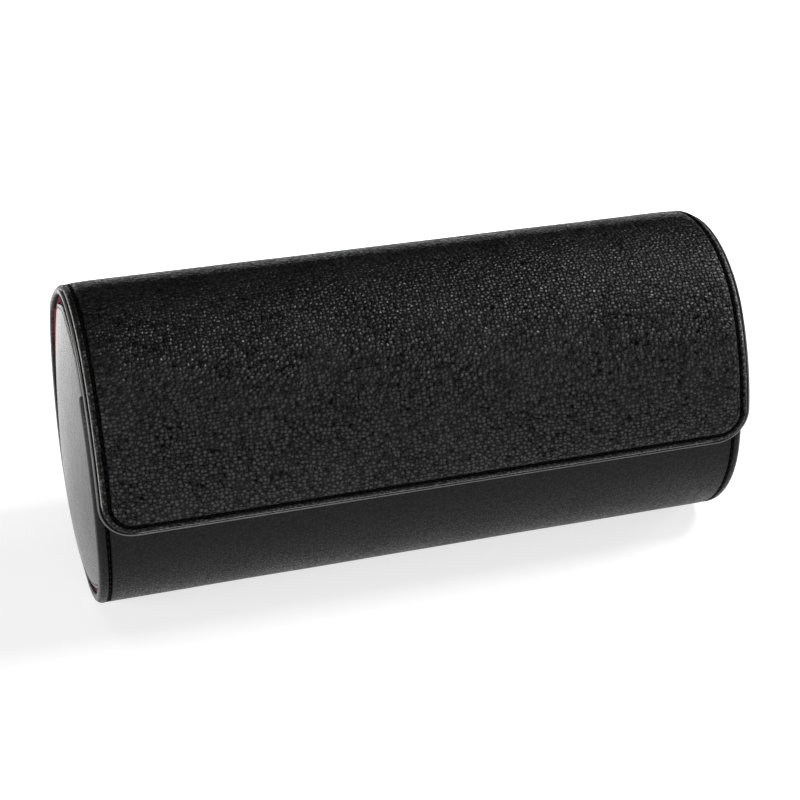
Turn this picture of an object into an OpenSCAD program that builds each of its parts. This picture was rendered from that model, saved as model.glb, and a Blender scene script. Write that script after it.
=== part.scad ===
// Watch travel case: a roll of board and leather on a flat foot, closed by a padded flap
// that turns on a strip of its own leather. Three watch cushions stand in the red lined bore.
// X runs along the case, Y from the front (-) to the back (+), Z up from the foot.

/* [Case] */
// Length of the wrapped case between its two rims
case_len = 210; // [170:1:260]
// Depth of the case body, front to back
case_depth = 90; // [84:1:100]
// Height of the widest line above the foot, and the radius of the lower corners
belly_h = 36; // [32:1:40]
// Height of the crown arc's centre above the widest line
crown_rise = 22; // [18:1:26]
// How much less the crown arc's radius is than half of the case's depth
crown_in = 6; // [5:0.5:8]
// Direction of the back hinge, up from level, about the crown arc's centre
hinge_angle = 50; // [44:1:54]
// Direction of the front wall's top edge, up from level
front_wall_angle = 33; // [31.5:0.5:40]

/* [Body wall] */
// Thickness of the body's leather
leather_t = 0.9; // [0.7:0.1:1.2]
// Thickness of the body's stiff board
board_t = 1.6; // [1.4:0.1:3]
// Thickness of the red lining with its backing
lining_t = 0.6; // [0.4:0.1:1.4]
// How far the leather is turned in round the rims
hem = 2; // [1.5:0.1:4]
// Height of the leather binding on the front wall's top edge
binding_h = 1.2; // [0.8:0.1:2]

/* [Flap] */
// Thickness of the flap's leather
flap_leather_t = 0.8; // [0.6:0.1:1.1]
// Thickness of the foam under the flap's leather
flap_foam_t = 0.6; // [0.4:0.1:1]
// Thickness of the flap's board
flap_board_t = 0.9; // [0.8:0.1:1.4]
// Thickness of the flap's lining
flap_lining_t = 0.5; // [0.4:0.1:0.8]
// Gap between the closed flap and the front wall
flap_gap = 0.4; // [0.3:0.1:1]
// How much shorter the flap is than the body
flap_short = 1.2; // [0.4:0.1:3]
// Height of the closed flap's lower edge above the foot
flap_edge_h = 39; // [36:0.5:48]
// Radius of the flap's two lower corners
flap_corner_r = 12; // [6:0.5:18]
// Width of the leather turned round the flap's edge
flap_hem = 1.2; // [0.8:0.1:2]
// Half of the soft hinge strip's width, along the arc
hinge_half = 4.5; // [3:0.1:5.5]

/* [Ends] */
// Thickness of each end board
end_board_t = 2.5; // [2:0.1:4]
// How far the end board's outer face lies inside the rim
end_recess = 3.5; // [3:0.1:5]
// Open gap round the domed end cover
end_gap = 1.2; // [1:0.1:3]
// Thickness of the end cover's leather
end_leather_t = 0.8; // [0.6:0.1:1.1]
// How far the dome's top stands past the rim
dome_h = 2.4; // [1.5:0.1:3]
// Radius of the dome
dome_r = 300; // [280:5:500]

/* [Compartments] */
// Thickness of each of the two dividers between the three compartments
divider_t = 5; // [4:0.1:8]
// Thickness of a divider's board
divider_core_t = 2.4; // [1.6:0.1:3]
// Height of the dividers' top edge above the widest line
divider_rise = 42; // [24:1:47]
// Height of the base pad's shoulders above the foot
pad_top = 13; // [10:0.5:18]
// Thickness of the base pad in the middle of its trough
pad_t = 3.5; // [2:0.1:6]

/* [Cushions] */
// Width of a cushion, front to back
cushion_w = 54; // [46:1:60]
// Height of a cushion
cushion_h = 62; // [60:1:68]
// Clearance between a cushion's end and the wall beside it
cushion_side_gap = 3; // [1:0.5:6]
// Thickness of a cushion's cover
cushion_cover_t = 1.4; // [1:0.1:2.5]

/* [Closure] */
// Diameter of the magnets and of the plates that they hold to
magnet_d = 12; // [8:0.5:14]
// Thickness of a magnet
magnet_t = 0.5; // [0.4:0.1:0.7]
// Thickness of a strike plate
plate_t = 0.8; // [0.5:0.1:1]
// Distance of each magnet from the middle of the case
magnet_x = 60; // [30:1:75]
// Direction of the magnets, up from level
magnet_angle = 8; // [7:0.5:14]

/* [Hidden] */
$fn = 180;

leather_black = [0.07, 0.07, 0.075];
lining_red = [0.55, 0.05, 0.12];
board_grey = [0.55, 0.52, 0.47];
foam_grey = [0.75, 0.75, 0.72];
steel = [0.7, 0.7, 0.72];

fit = 0.1;           // slipped fit between a solid and the pocket it lies in
seat_gap = 0.3;      // between a loose cushion and what it rests on
past = 1;            // how far a cutting shape runs past what it cuts

wall_t = leather_t + board_t + lining_t;
flap_t = flap_leather_t + flap_foam_t + flap_board_t + flap_lining_t;

// The side arcs are upright at the widest line and run smoothly into the crown arc.
half_depth = case_depth / 2;
crown_r = half_depth - crown_in;
side_c = (crown_rise * crown_rise - crown_in * crown_in) / (2 * crown_in);
side_r = side_c + half_depth;
foot_half = half_depth - belly_h;

// The flap follows the body's outline moved along the hinge's tangent: it starts flush
// at the hinge and lies over the front wall with flap_gap between them.
lap = flap_t + flap_gap;
flap_rise = lap / tan(hinge_angle);
mid_y = lap / 2;     // puts the origin in the middle of the closed case
hinge_a = hinge_half / crown_r * 180 / PI;

flap_len = case_len - flap_short;
front_a = 180 - front_wall_angle;
down_a = 270;        // straight down from the crown's centre, where the flap's fan ends
back_a = 360 + hinge_angle - hinge_a;
binding_a = binding_h / crown_r * 180 / PI;

end_out = case_len / 2 - end_recess;
end_in = end_out - end_board_t;
bore_half = end_in - lining_t;
dome_tip = case_len / 2 + dome_h;

// A flat magnet's rim stands this much higher in the curved wall than its middle.
magnet_sag = side_r - sqrt(side_r * side_r - magnet_d * magnet_d / 4);

cushion_r = cushion_w / 2;
cushion_bottom = wall_t + pad_t + seat_gap;
cell_len = (2 * bore_half - 2 * divider_t) / 3;
cell_step = cell_len + divider_t;
divider_top = belly_h + divider_rise;
cushion_len = cell_len - 2 * cushion_side_gap;

// ---- section ----
// Section shapes are drawn with x to the back and y up from the widest line.

// The body's outline, drawn in by a depth all round.
module outline(depth) {
  translate([0, crown_rise])
    circle(crown_r - depth);
  for (side = [-1, 1]) {
    translate([side * foot_half, 0])
      circle(belly_h - depth);
    intersection() {
      translate([-side * side_c, 0])
        circle(side_r - depth);
      polygon([[-side * side_c, 0],
               [side * case_depth, 0],
               [side * case_depth, (case_depth + side_c) * crown_rise / side_c]]);
    }
  }
  translate([-foot_half, -belly_h + depth])
    square([2 * foot_half, belly_h - depth]);
}

// A fan about the crown's centre from one direction to another, in degrees up from the back,
// round by the top, the front and the foot, and on to the top again.
module fan(from, to) {
  steps = ceil((to - from) / 60);
  reach = 3 * case_depth;
  polygon(concat([[0, crown_rise]],
                 [for (i = [0:steps])
                   let (a = from + (to - from) * i / steps)
                     [reach * cos(a), crown_rise + reach * sin(a)]]));
}

module below(height) {
  translate([-case_depth, -belly_h - past])
    square([2 * case_depth, height + past]);
}

// Stands a section shape up in the case's frame, from x1 to x2 along it.
module along(x1, x2) {
  translate([x1, mid_y, belly_h])
    rotate([90, 0, 90])
      linear_extrude(x2 - x1)
        children();
}

// A curved wall between two depths under the outline, which may be moved, from one
// direction to another.
module wall(d_out, d_in, from, to, len, move = [0, 0]) {
  along(-len / 2, len / 2)
    intersection() {
      translate(move)
        difference() {
          outline(d_out);
          outline(d_in);
        }
      fan(from, to);
    }
}

// One layer of the flap, inside its edge by a margin at the front and at both ends.
module flap_layer(d_out, d_in, margin) {
  len = flap_len - 2 * margin;
  edge = flap_edge_h + margin;
  corner = flap_corner_r - margin;
  difference() {
    wall(d_out, d_in, hinge_angle + hinge_a, down_a, len, [-lap, flap_rise]);
    translate([-case_len, -2 * case_depth, 0])
      cube([2 * case_len, 4 * case_depth, edge]);
    for (side = [-1, 1])
      translate([side * (len / 2 - corner), 0, edge + corner])
        rotate([90, 0, 0])
          linear_extrude(2 * case_depth)
            difference() {
              translate([side > 0 ? 0 : -2 * corner, -2 * corner])
                square(2 * corner);
              circle(corner);
            }
  }
}

// A disc lying in the front wall at a depth under the outline.
module wall_disc(side, depth, thick, dia) {
  translate([side * magnet_x, mid_y + side_c, belly_h])
    rotate([180 - magnet_angle, 0, 0])
      translate([0, side_r - depth, 0])
        rotate([90, 0, 0])
          cylinder(d = dia, h = thick);
}

module magnet_shape(side, grow) {
  depth = flap_leather_t + flap_foam_t + (flap_board_t + magnet_sag - magnet_t) / 2;
  translate([0, -lap, flap_rise])
    wall_disc(side, depth - grow, magnet_t + 2 * grow, magnet_d + 2 * grow);
}

module plate_shape(side, grow) {
  depth = leather_t + (board_t + magnet_sag - plate_t) / 2;
  wall_disc(side, depth - grow, plate_t + 2 * grow, magnet_d + 2 * grow);
}

// ---- body ----

module shell_leather() {
  color(leather_black)
    difference() {
      wall(0, wall_t, front_a, back_a, case_len);
      wall(leather_t, wall_t + past, front_a - past, back_a + past, case_len - 2 * leather_t);
    }
  color(leather_black)
    for (side = [-1, 1])
      translate([side * (case_len / 2 - (hem + leather_t) / 2), 0, 0])
        wall(leather_t + board_t, wall_t, front_a, back_a, hem - leather_t);
}

module shell_board() {
  color(board_grey)
    difference() {
      wall(leather_t, leather_t + board_t, front_a, back_a, case_len - 2 * leather_t);
      for (side = [-1, 1])
        plate_shape(side, fit);
    }
}

module shell_lining() {
  color(lining_red)
    wall(leather_t + board_t, wall_t, front_a, back_a, case_len - 2 * hem);
}

module front_edge_binding() {
  color(leather_black)
    wall(0, wall_t, front_a - binding_a, front_a, case_len);
}

// Foam in the foot of each compartment, hollowed to the cushions' round.
module base_pad() {
  color(foam_grey)
    for (place = [-1:1])
      along(place * cell_step - cell_len / 2, place * cell_step + cell_len / 2)
        difference() {
          intersection() {
            outline(wall_t);
            below(pad_top);
          }
          translate([0, cushion_bottom + cushion_r - belly_h])
            circle(cushion_r + seat_gap);
        }
}

module divider_shape(side, inset, thick) {
  mid = side * cell_step / 2;
  along(mid - thick / 2, mid + thick / 2)
    intersection() {
      outline(wall_t + inset);
      below(divider_top - inset);
    }
}

module divider_core(side) {
  color(board_grey)
    divider_shape(side, (divider_t - divider_core_t) / 2, divider_core_t);
}

module divider_cover(side) {
  color(lining_red)
    difference() {
      divider_shape(side, 0, divider_t);
      divider_shape(side, (divider_t - divider_core_t) / 2, divider_core_t);
    }
}

// Draws the right end's piece, mirrored for the left end.
module at_end(side) {
  mirror([side < 0 ? 1 : 0, 0, 0])
    children();
}

module end_board(side) {
  color(board_grey)
    at_end(side)
      along(end_in, end_out)
        outline(wall_t);
}

module end_lining(side) {
  color(lining_red)
    at_end(side)
      along(end_in - lining_t, end_in)
        outline(wall_t);
}

// The end cushion's dome, drawn in by a depth.
module dome(depth) {
  intersection() {
    along(end_out, dome_tip)
      outline(wall_t + end_gap + depth);
    translate([dome_tip - dome_r, mid_y, (belly_h + crown_rise + crown_r) / 2])
      sphere(dome_r - depth, $fn = 360);
  }
}

module end_pad(side) {
  color(foam_grey)
    at_end(side)
      dome(end_leather_t);
}

module end_cover(side) {
  color(leather_black)
    at_end(side)
      difference() {
        dome(0);
        dome(end_leather_t);
      }
}

module strike_plate(side) {
  color(steel)
    plate_shape(side, 0);
}

module hinge_leather() {
  color(leather_black)
    wall(0, flap_leather_t, hinge_angle - hinge_a, hinge_angle + hinge_a, flap_len);
}

module hinge_lining() {
  color(lining_red)
    wall(flap_t - flap_lining_t, flap_t, hinge_angle - hinge_a, hinge_angle + hinge_a,
         flap_len - 2 * hem);
}

// ---- flap ----

module flap_leather() {
  color(leather_black)
    difference() {
      flap_layer(0, flap_t - flap_lining_t, 0);
      flap_layer(flap_leather_t, flap_t, flap_hem);
    }
}

module flap_foam() {
  color(foam_grey)
    flap_layer(flap_leather_t, flap_leather_t + flap_foam_t, flap_hem);
}

module flap_board() {
  color(board_grey)
    difference() {
      flap_layer(flap_leather_t + flap_foam_t, flap_t - flap_lining_t, flap_hem);
      for (side = [-1, 1])
        magnet_shape(side, fit);
    }
}

module flap_lining() {
  color(lining_red)
    flap_layer(flap_t - flap_lining_t, flap_t, flap_hem / 2);
}

module magnet(side) {
  color(steel)
    magnet_shape(side, 0);
}

// ---- cushions ----

// A cushion's form, drawn in by a depth all round.
module cushion_shape(place, depth) {
  half = cushion_len / 2 - depth;
  r = cushion_r - depth;
  low = cushion_bottom + cushion_r - belly_h;
  high = low + cushion_h - cushion_w;
  along(place * cell_step - half, place * cell_step + half) {
    for (z = [low, high])
      translate([0, z])
        circle(r);
    translate([-r, low])
      square([2 * r, high - low]);
  }
}

module cushion_cover(place) {
  color(lining_red)
    difference() {
      cushion_shape(place, 0);
      cushion_shape(place, cushion_cover_t);
    }
}

module cushion_core(place) {
  color(foam_grey)
    cushion_shape(place, cushion_cover_t + fit);
}

shell_leather();
shell_board();
shell_lining();
front_edge_binding();
base_pad();
divider_core(-1);  // divider_core_left
divider_core(1);  // divider_core_right
divider_cover(-1);  // divider_cover_left
divider_cover(1);  // divider_cover_right
end_board(-1);  // end_board_left
end_board(1);  // end_board_right
end_lining(-1);  // end_lining_left
end_lining(1);  // end_lining_right
end_pad(-1);  // end_pad_left
end_pad(1);  // end_pad_right
end_cover(-1);  // end_cover_left
end_cover(1);  // end_cover_right
strike_plate(-1);  // strike_plate_left
strike_plate(1);  // strike_plate_right
hinge_leather();
hinge_lining();
flap_leather();
flap_foam();
flap_board();
flap_lining();
magnet(-1);  // magnet_left
magnet(1);  // magnet_right
cushion_cover(-1);  // cushion_cover_left
cushion_cover(0);  // cushion_cover_middle
cushion_cover(1);  // cushion_cover_right
cushion_core(-1);  // cushion_core_left
cushion_core(0);  // cushion_core_middle
cushion_core(1);  // cushion_core_right
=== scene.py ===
import math
import bmesh
import bpy
import numpy as np
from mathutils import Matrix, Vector
from mathutils.bvhtree import BVHTree


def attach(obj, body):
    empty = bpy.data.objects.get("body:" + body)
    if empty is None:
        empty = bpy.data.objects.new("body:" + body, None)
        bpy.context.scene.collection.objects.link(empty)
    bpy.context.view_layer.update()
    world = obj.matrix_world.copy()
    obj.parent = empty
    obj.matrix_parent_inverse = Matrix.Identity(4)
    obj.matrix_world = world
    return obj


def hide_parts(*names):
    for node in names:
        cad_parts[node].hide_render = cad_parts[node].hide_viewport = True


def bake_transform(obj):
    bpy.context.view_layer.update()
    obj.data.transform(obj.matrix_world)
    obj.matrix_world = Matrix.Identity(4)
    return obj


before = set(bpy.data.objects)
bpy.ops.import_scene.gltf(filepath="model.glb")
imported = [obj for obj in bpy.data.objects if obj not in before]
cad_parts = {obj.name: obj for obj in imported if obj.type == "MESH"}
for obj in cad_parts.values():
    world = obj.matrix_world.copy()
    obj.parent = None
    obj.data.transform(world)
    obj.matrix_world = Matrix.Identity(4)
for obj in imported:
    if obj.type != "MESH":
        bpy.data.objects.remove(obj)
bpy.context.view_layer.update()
mm = 0.001
uvPerMm = 0.01       # the flat map of a sheet runs by this much over each mm
weldWithin = 2e-6    # m, for points that two grids share
sliverBelow = 1e-7   # m, for edges that are dissolved
sides = (("Left", -1), ("Right", 1))
thirds = (("Left", -1), ("Middle", 0), ("Right", 1))
print("Frame loaded:", len(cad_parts), "nodes")

# All sizes below are in mm. A section point has y to the back and z up from the widest line.
case = {
    "halfLength": 105.0,
    "bellyHeight": 36.0,
    "midY": 1.6,
    "crownRise": 22.0,
    "crownRadius": 39.0,
    "sideCentre": 37.333,
    "sideRadius": 82.333,
    "footHalf": 9.0,
    "cornerRadius": 36.0,
    "wall": 3.1,
    "hingeAngle": 50.0,
    "frontAngle": 147.0,
    "flapMove": (-3.2, 2.685),
    "flapFoot": 3.0,     # height of the closed flap's lower edge
    "bend": 4.5,         # half the length of the bending strip
    "liningGap": 6.61,   # degrees from the hinge to where the body's lining stops
}


# The crown's arc and the side's arc meet on the line through their two centres.
joinAngle = math.degrees(math.atan2(case["crownRise"], case["sideCentre"]))


def arcLength(part):
    if part[0] == "line":
        return math.hypot(part[3] - part[1], part[4] - part[2])
    return part[3] * math.radians(part[5] - part[4])


def pathLength(path):
    return sum(arcLength(part) for part in path)


# Walks a section path by length. On an arc the point is centre + radius * (cos a, sin a) with
# a = start angle + length / radius, and on a straight run it moves evenly; the normal points out.
def follow(path, s):
    s = np.asarray(s, float)
    y, z, ny, nz = (np.zeros_like(s) for _ in range(4))
    start = 0.0
    for number, part in enumerate(path):
        here = np.ones_like(s, bool) if number == 0 else s >= start
        if part[0] == "line":
            length = arcLength(part)
            ty, tz = (part[3] - part[1]) / length, (part[4] - part[2]) / length
            values = (part[1] + ty * (s - start), part[2] + tz * (s - start),
                      np.full_like(s, tz), np.full_like(s, -ty))
        else:
            a = math.radians(part[4]) + (s - start) / part[3]
            values = (part[1] + part[3] * np.cos(a), part[2] + part[3] * np.sin(a),
                      np.cos(a), np.sin(a))
        y, z, ny, nz = (np.where(here, new, old) for new, old in zip(values, (y, z, ny, nz)))
        start += arcLength(part)
    return y, z, ny, nz


# A ring of section points at one x, in mm.
def ringAt(x, y, z):
    return np.stack([np.broadcast_to(x, y.shape), y + case["midY"], z + case["bellyHeight"]], -1)


# A point of the case's frame: x along it, the path's point at s, and a depth in from the surface.
def place(path, x, s, depth):
    y, z, ny, nz = follow(path, s)
    return ringAt(x, y - depth * ny, z - depth * nz) * mm


# The parts of the section's paths. An arc is (kind, centre y and z, radius, from and to degree), and
# a line is (kind, y and z of its start, y and z of its end).
def sideArc(side, fromAngle, toAngle, move=(0, 0)):
    return ("arc", -side * case["sideCentre"] + move[0], move[1], case["sideRadius"],
            fromAngle, toAngle)


def crownArc(fromAngle, toAngle, move=(0, 0)):
    return ("arc", move[0], case["crownRise"] + move[1], case["crownRadius"], fromAngle, toAngle)


def cornerArc(side):
    return ("arc", side * case["footHalf"], 0.0, case["cornerRadius"],
            270 if side > 0 else 180, 360 if side > 0 else 270)


footLine = ("line", -case["footHalf"], -case["cornerRadius"], case["footHalf"], -case["cornerRadius"])
move = case["flapMove"]
hingeY = case["crownRadius"] * math.cos(math.radians(case["hingeAngle"]))
hingeZ = case["crownRise"] + case["crownRadius"] * math.sin(math.radians(case["hingeAngle"]))
flapEnd = 180 - math.degrees(math.asin((case["flapFoot"] - move[1]) / case["sideRadius"]))

# The flap's leather: up the back, straight on at the hinge, over the top and down the front.
wrapPath = [cornerArc(1), sideArc(1, 0, joinAngle), crownArc(joinAngle, case["hingeAngle"]),
            ("line", hingeY, hingeZ, hingeY + move[0], hingeZ + move[1]),
            crownArc(case["hingeAngle"], 180 - joinAngle, move),
            sideArc(-1, 180 - joinAngle, flapEnd, move)]
hingeS = pathLength(wrapPath[:3])
wrapEnd = pathLength(wrapPath)

# The body's front leather: from the front wall's top edge down and under the foot.
frontPath = [crownArc(case["frontAngle"], 180 - joinAngle), sideArc(-1, 180 - joinAngle, 180),
             cornerArc(-1), footLine]
frontEnd = pathLength(frontPath)

# The body's lining starts as the front leather does, and goes on under the foot and up the back.
liningBack = case["hingeAngle"] - case["liningGap"]
liningPath = frontPath + [cornerArc(1), sideArc(1, 0, joinAngle), crownArc(joinAngle, liningBack)]

# The whole section from the top round the front, the foot and the back, as the ends follow it.
loopPath = [crownArc(90, 180 - joinAngle), sideArc(-1, 180 - joinAngle, 180), cornerArc(-1),
            footLine, cornerArc(1), sideArc(1, 0, joinAngle), crownArc(joinAngle, 90)]
loopLength = pathLength(loopPath)


# Goes from 0 to 1 with a level start and end: 3 t^2 - 2 t^3.
def ease(t):
    t = np.clip(t, 0, 1)
    return t * t * (3 - 2 * t)


# Even steps from start to end, each near the given length.
def spread(start, end, step):
    return np.linspace(start, end, max(2, int(round(abs(end - start) / step)) + 1))


# The length run along a line of points: 0 at the first, then a sum of sqrt(da^2 + db^2).
def runAlong(a, b):
    return np.concatenate([[0], np.cumsum(np.hypot(np.diff(a), np.diff(b)))])


def newObject(name, data):
    obj = bpy.data.objects.new(name, data)
    bpy.context.scene.collection.objects.link(obj)
    return obj


# Reads a value of three parts from each vertex or face.
def read(items, key):
    flat = np.zeros(len(items) * 3)
    items.foreach_get(key, flat)
    return flat.reshape(-1, 3)


# Puts grids of points into one mesh. Each grid is points [n, m, 3] with a flat map [n, m, 2] in mm
# and named values [n, m]; quads join neighbours, and doubles are merged.
def surface(name, grids, outside=None, capped=False, finish=True):
    points, flats, quads, caps = [], [], [], []
    values = {key: [] for key in grids[0].get("values", {})}
    start = 0
    for grid in grids:
        n, m = grid["points"].shape[:2]
        points.append(grid["points"].reshape(-1, 3))
        flats.append(grid["flat"].reshape(-1, 2))
        for key in values:
            values[key].append(np.broadcast_to(grid["values"][key], (n, m)).reshape(-1))
        index = start + np.arange(n * m).reshape(n, m)
        quads.append(np.stack([index[:-1, :-1], index[1:, :-1], index[1:, 1:], index[:-1, 1:]],
                              -1).reshape(-1, 4))
        if capped:
            caps += [index[0, :-1].tolist(), index[-1, :-1].tolist()[::-1]]
        start += n * m
    points, flats = np.concatenate(points), np.concatenate(flats)
    mesh = bpy.data.meshes.new(name)
    mesh.from_pydata(points.tolist(), [], np.concatenate(quads).tolist() + caps)
    order = np.zeros(len(mesh.loops), np.int32)
    mesh.loops.foreach_get("vertex_index", order)
    layer = mesh.uv_layers.new(name="flat")
    layer.data.foreach_set("uv", (flats[order] * uvPerMm).astype(np.float32).ravel())
    for key, parts in values.items():
        held = mesh.attributes.new(key, "FLOAT", "POINT")
        held.data.foreach_set("value", np.concatenate(parts).astype(np.float32))
    work = bmesh.new()
    work.from_mesh(mesh)
    bmesh.ops.remove_doubles(work, verts=work.verts, dist=weldWithin)
    bmesh.ops.dissolve_degenerate(work, edges=work.edges, dist=sliverBelow)
    if finish:
        bmesh.ops.recalc_face_normals(work, faces=work.faces)
    work.to_mesh(mesh)
    work.free()
    if outside is not None:
        centres, normals = read(mesh.polygons, "center"), read(mesh.polygons, "normal")
        near = np.argmin(((centres - np.array(outside[0])) ** 2).sum(1))
        if normals[near] @ np.array(outside[1]) < 0:
            mesh.flip_normals()
    mesh.polygons.foreach_set("use_smooth", np.ones(len(mesh.polygons), bool))
    return newObject(name, mesh)


# Bakes an object's modifiers into its mesh.
def settle(obj):
    bpy.context.view_layer.update()
    graph = bpy.context.evaluated_depsgraph_get()
    made = bpy.data.meshes.new_from_object(obj.evaluated_get(graph), preserve_all_data_layers=True,
                                           depsgraph=graph)
    old = obj.data
    obj.modifiers.clear()
    obj.data = made
    made.name = obj.name
    bpy.data.meshes.remove(old)


# Gives a sheet its thickness, inwards.
def thicken(obj, thickness):
    wall = obj.modifiers.new("wall", "SOLIDIFY")
    wall.thickness = thickness * mm
    wall.offset = -1
    wall.use_rim = True
    settle(obj)


leather = {
    "halfLength": 105.3,
    "flapLeft": 104.3,   # the flap sits a little to the right of the body
    "flapRight": 106.2,
    "flapCorner": 11.0,
    "seam": 3.38,        # from the edge to the stitched groove
    "puff": 0.95,
    "sink": 0.25,        # how far the flap's border lies under its outline
    "skin": 0.7,
    "changeBefore": 5.0,  # where the body's edge starts to turn into the flap's, before the hinge
    "changeOver": 34.0,
    "puffAfter": 6.0,     # where the padding starts, past the hinge
    "puffOver": 26.0,
    "stillEdge": 5.0,     # a sheet's margin that the slow waves leave flat
}

# Columns: inset and depth on the body, inset and depth on the flap, share of the puff, groove,
# dark line between the flap's two plies (painted shade in the gap), grain (where it runs low the
# edge is drawn in a lighter grey: a painted highlight).
skinEdge = np.array([
    (11.0, 0.00, 11.0, 0.00, 1.00, 0.0, 0.0, 1.0),
    (10.0, 0.00, 10.0, 0.00, 0.97, 0.0, 0.0, 1.0),
    (8.4, 0.00, 8.4, 0.00, 0.91, 0.0, 0.0, 1.0),
    (7.0, 0.00, 7.0, 0.00, 0.83, 0.0, 0.0, 1.0),
    (5.9, 0.00, 5.9, 0.00, 0.73, 0.0, 0.0, 1.0),
    (5.1, 0.00, 5.1, 0.00, 0.60, 0.0, 0.0, 1.0),
    (4.6, 0.00, 4.6, 0.00, 0.44, 0.0, 0.0, 1.0),
    (4.3, 0.01, 4.3, 0.00, 0.30, 0.1, 0.0, 1.0),
    (4.06, 0.05, 4.06, 0.04, 0.16, 0.6, 0.0, 1.0),
    (3.88, 0.15, 3.88, 0.14, 0.05, 1.0, 0.0, 0.7),
    (3.68, 0.34, 3.68, 0.30, 0.01, 1.0, 0.0, 0.4),
    (3.38, 0.42, 3.38, 0.38, 0.00, 1.0, 0.0, 0.3),
    (3.08, 0.34, 3.08, 0.30, 0.00, 1.0, 0.0, 0.4),
    (2.92, 0.16, 2.92, 0.12, 0.00, 0.9, 0.0, 0.7),
    (2.78, 0.04, 2.78, 0.02, 0.00, 0.3, 0.0, 1.0),
    (2.50, -0.04, 2.54, -0.07, 0.00, 0.0, 0.0, 1.0),
    (2.10, -0.06, 2.26, -0.06, 0.00, 0.0, 0.0, 1.0),
    (1.70, 0.00, 1.98, 0.04, 0.00, 0.0, 0.0, 1.0),
    (1.30, 0.13, 1.72, 0.19, 0.00, 0.0, 0.0, 0.9),
    (0.95, 0.32, 1.50, 0.36, 0.00, 0.0, 0.0, 0.8),
    (0.64, 0.56, 1.31, 0.55, 0.00, 0.0, 0.0, 0.7),
    (0.38, 0.86, 1.18, 0.76, 0.00, 0.0, 0.5, 0.45),
    (0.18, 1.20, 1.13, 0.98, 0.00, 0.0, 1.0, 0.3),
    (0.06, 1.50, 1.18, 1.16, 0.00, 0.0, 1.0, 0.2),
    (0.01, 1.75, 0.84, 1.20, 0.00, 0.0, 1.0, 0.2),
    (0.00, 1.88, 0.58, 1.12, 0.00, 0.0, 0.8, 0.1),
    (0.00, 1.96, 0.48, 1.01, 0.00, 0.0, 0.0, 0.1),
    (0.00, 2.08, 0.26, 0.98, 0.00, 0.0, 0.0, 0.1),
    (0.01, 2.25, 0.07, 1.10, 0.00, 0.0, 0.0, 0.1),
    (0.04, 2.42, 0.00, 1.40, 0.00, 0.0, 0.0, 0.1),
    (0.10, 2.58, 0.02, 1.90, 0.00, 0.0, 0.0, 0.1),
    (0.20, 2.75, 0.14, 2.30, 0.00, 0.0, 0.0, 0.3),
    (0.42, 2.95, 0.36, 2.50, 0.00, 0.0, 0.0, 0.5),
    (0.80, 3.07, 0.80, 2.55, 0.00, 0.0, 0.0, 0.8),
    (1.60, 3.10, 1.50, 2.55, 0.00, 0.0, 0.0, 0.8),
    (1.85, 2.90, 1.75, 2.35, 0.00, 0.3, 0.0, 0.8),
    (2.00, 2.60, 1.90, 2.15, 0.00, 0.5, 0.0, 0.8),
    (5.00, 2.60, 5.00, 2.15, 0.00, 0.0, 0.0, 0.8),
])


# The share of the flap's edge at s: 0 on the body and 1 on the flap, eased between.
def flapShare(s):
    return ease((s - (hingeS - leather["changeBefore"])) / leather["changeOver"])


# How far the padding lifts the flap's leather at s: the puff, eased in past the hinge.
def flapPuff(s):
    return leather["puff"] * ease((s - (hingeS + leather["puffAfter"])) / leather["puffOver"])


# How far the flap's and the back's leather reach to the left and to the right at s.
def wrapReach(s):
    k = flapShare(s)
    half = leather["halfLength"]
    return half + (leather["flapLeft"] - half) * k, half + (leather["flapRight"] - half) * k


# The perimeter that an edge follows in the flat sheet: up the left side, round the front corner,
# along the front, round and down the right side. Gives the point and the direction inwards.
def perimeter(reach, s0, s1, corner, inset=0.0, step=1.6):
    c = corner - inset
    end = s1 - inset
    rows = spread(s0, end - c, step)
    left, right = (v - inset for v in reach(rows))
    cols = spread(-left[-1] + c, right[-1] - c, step)
    turn = np.linspace(0, np.pi / 2, 17)[1:-1]
    one, none = np.ones, np.zeros
    x = [-left, -left[-1] + c - c * np.cos(turn), cols, right[-1] - c + c * np.sin(turn),
         right[::-1]]
    s = [rows, end - c + c * np.sin(turn), np.full(len(cols), end),
         end - c + c * np.cos(turn), rows[::-1]]
    ix = [one(len(rows)), np.cos(turn), none(len(cols)), -np.sin(turn), -one(len(rows))]
    ins = [none(len(rows)), -np.sin(turn), -one(len(cols)), -np.cos(turn), none(len(rows))]
    x, s, ix, ins = (np.concatenate(v) for v in (x, s, ix, ins))
    share = (cols - cols[0]) / (cols[-1] - cols[0])
    return {"x": x, "s": s, "ix": ix, "is": ins, "rows": rows, "share": share}


# Slow waves of a hand-laid skin, in mm: a sum of long sine waves along and round the case.
def waves(x, s):
    return (0.035 * np.sin(x / 17.0 + 0.9 * np.sin(s / 23.0)) + 0.03 * np.sin(s / 13.0 + x / 41.0)
            + 0.02 * np.sin(x / 7.3 + s / 9.1))


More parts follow.
